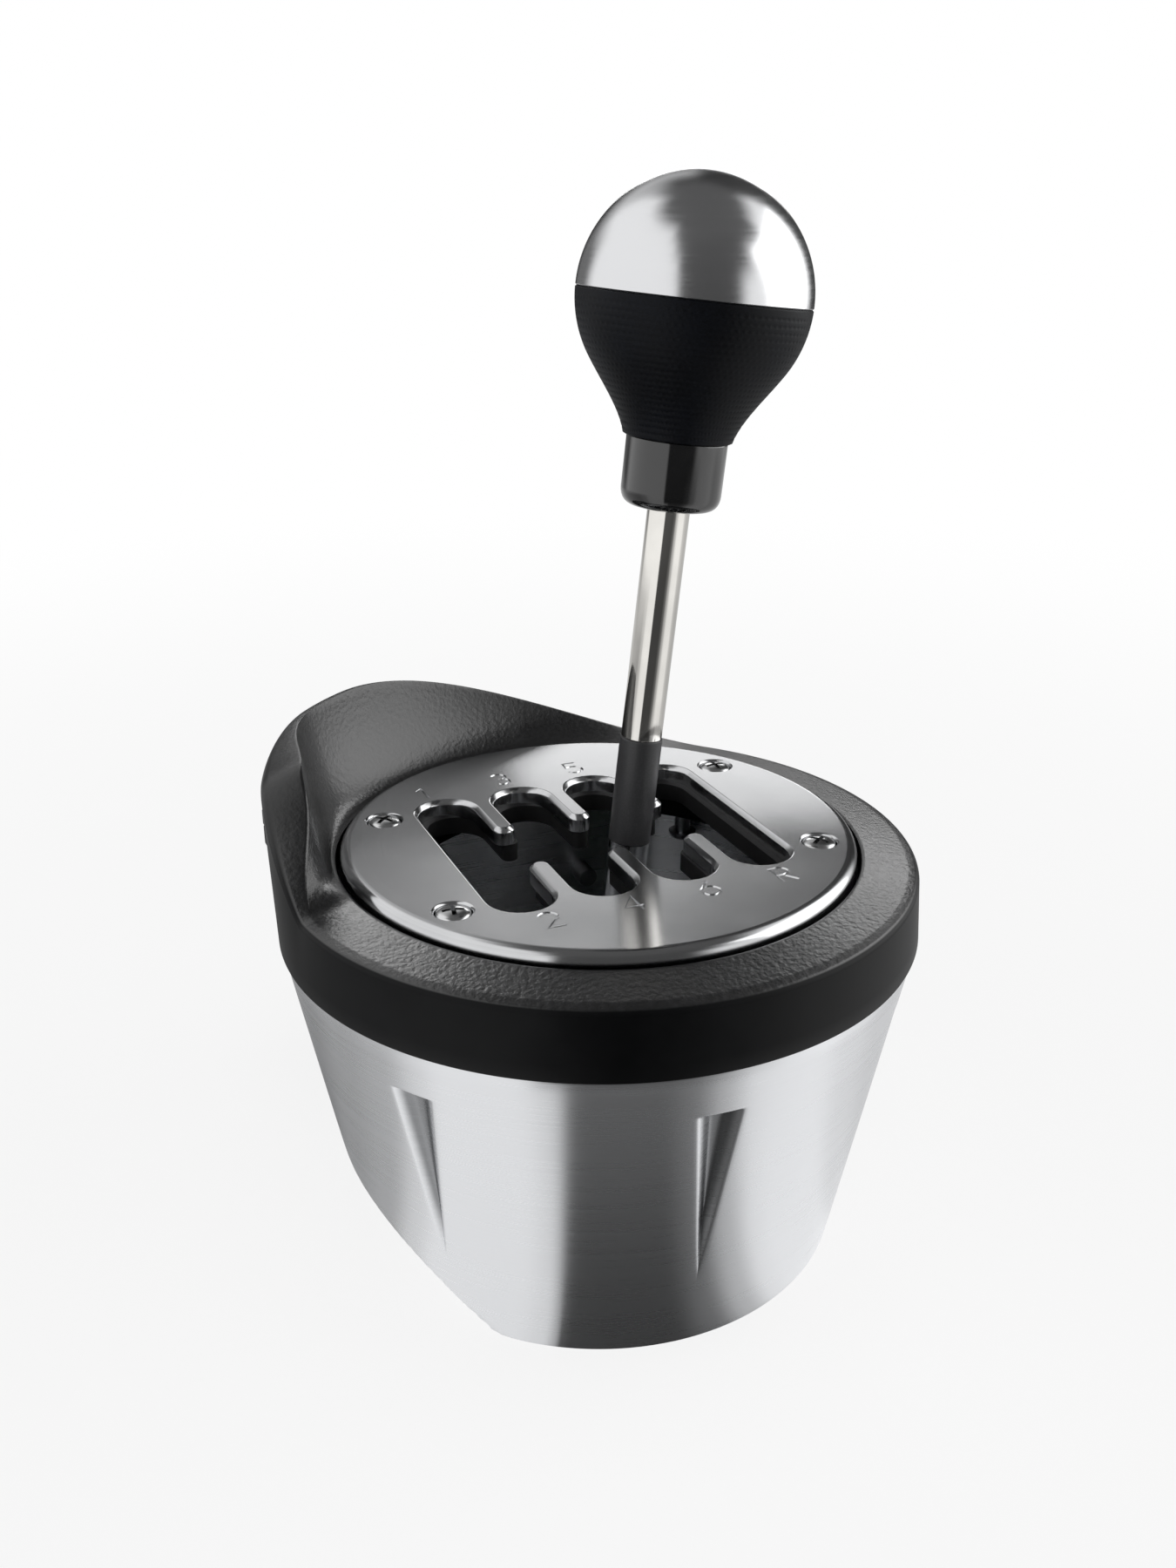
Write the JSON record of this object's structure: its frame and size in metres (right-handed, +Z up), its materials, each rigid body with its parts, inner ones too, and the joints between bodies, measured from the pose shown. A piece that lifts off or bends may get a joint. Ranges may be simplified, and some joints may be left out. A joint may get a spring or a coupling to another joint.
{
  "type": "sim racing gear shifter",
  "caption": "Gear shifter for driving simulators: ball-knob lever in a slotted H-pattern gate on a round body with a raised hood and a desk clamp.",
  "frame": {"origin": "centre of the base, on the surface it stands on", "axes": "+Z up, +Y away from the driver towards the desk clamp, +X to the driver's right"},
  "size_m": [0.1402, 0.168, 0.2277],
  "materials": {
    "bucket": "fine vertical brushing, satin",
    "moulding": "moulded black with a fine grain on the sloped face",
    "gate": "brushed face with polished edges",
    "guide": "matt black",
    "bright_screw": "bright",
    "zinc_screw": "zinc plated",
    "dark_steel": "black powder coat",
    "frame_steel": "zinc plated",
    "ground_steel": "ground",
    "bronze": "machined",
    "circuit_board": "green solder mask",
    "magnet": "nickel plated",
    "sleeve": "satin dark grey",
    "lever_chrome": "polished chrome",
    "collar_gloss": "gloss black",
    "insert_metal": "turned",
    "grip": "black with fine dimples",
    "cap_metal": "brushed and bright",
    "clamp_steel": "black powder coat",
    "pad_rubber": "matt",
    "knob_plastic": "moulded"
  },
  "bodies": {
    "housing": {"lower_housing": "bucket", "upper_housing": "moulding", "gate_plate": "gate", "gate_guide": "guide", "gate_screws": "bright_screw", "base_plate": "dark_steel", "base_screws": "zinc_screw", "housing_screws": "zinc_screw", "mechanism_frame": "frame_steel", "frame_screws": "zinc_screw", "select_bushes": "bronze", "friction_block": "guide", "tension_screw": "zinc_screw", "sensor_board": "circuit_board", "control_board": "circuit_board", "board_spacers": "bronze", "data_socket": "guide", "clamp_bracket": "clamp_steel", "bracket_screws": "zinc_screw", "jaw_pad": "pad_rubber"},
    "selector": {"select_cradle": "frame_steel", "select_pins": "ground_steel", "shift_bushes": "bronze"},
    "lever": {"shift_pin": "ground_steel", "lever_hub": "frame_steel", "hub_screw": "zinc_screw", "lever_shaft": "ground_steel", "lever_magnet": "magnet", "lever_sleeve": "sleeve", "lever_rod": "lever_chrome", "knob_collar": "collar_gloss", "knob_insert": "insert_metal", "knob_grip": "grip", "knob_cap": "cap_metal"},
    "clamp_jaw": {"lower_jaw": "clamp_steel", "lower_jaw_pad": "pad_rubber", "jaw_nuts": "bronze"},
    "left_screw": {"left_clamp_screw": "ground_steel", "left_clamp_knob": "knob_plastic"},
    "right_screw": {"right_clamp_screw": "ground_steel", "right_clamp_knob": "knob_plastic"}
  },
  "joints": [
    {"name": "select", "type": "hinge", "parent": "housing", "child": "selector", "pos_m": [0, 0, 0.024], "axis": [0, 1, 0], "range_deg": [-28.03, 15.27]},
    {"name": "shift", "type": "hinge", "parent": "selector", "child": "lever", "pos_m": [0, 0, 0.024], "axis": [0.9938, 0, -0.1111], "range_deg": [-17, 17]},
    {"name": "clamp_slide", "type": "slide", "parent": "housing", "child": "clamp_jaw", "axis": [0, 0, 1], "range_m": [0, 0.033]},
    {"name": "left_screw_turn", "type": "hinge", "parent": "housing", "child": "left_screw", "pos_m": [-0.032, 0.07, 0.04], "axis": [0, 0, 1], "range_deg": [-5, 3965]},
    {"name": "right_screw_turn", "type": "hinge", "parent": "housing", "child": "right_screw", "pos_m": [0.032, 0.07, 0.04], "axis": [0, 0, 1], "range_deg": [-5, 3965]}
  ],
  "couplings": [
    {"joint": "left_screw_turn", "follows": "clamp_slide", "rad_per_m": 2094.4},
    {"joint": "right_screw_turn", "follows": "clamp_slide", "rad_per_m": 2094.4}
  ]
}
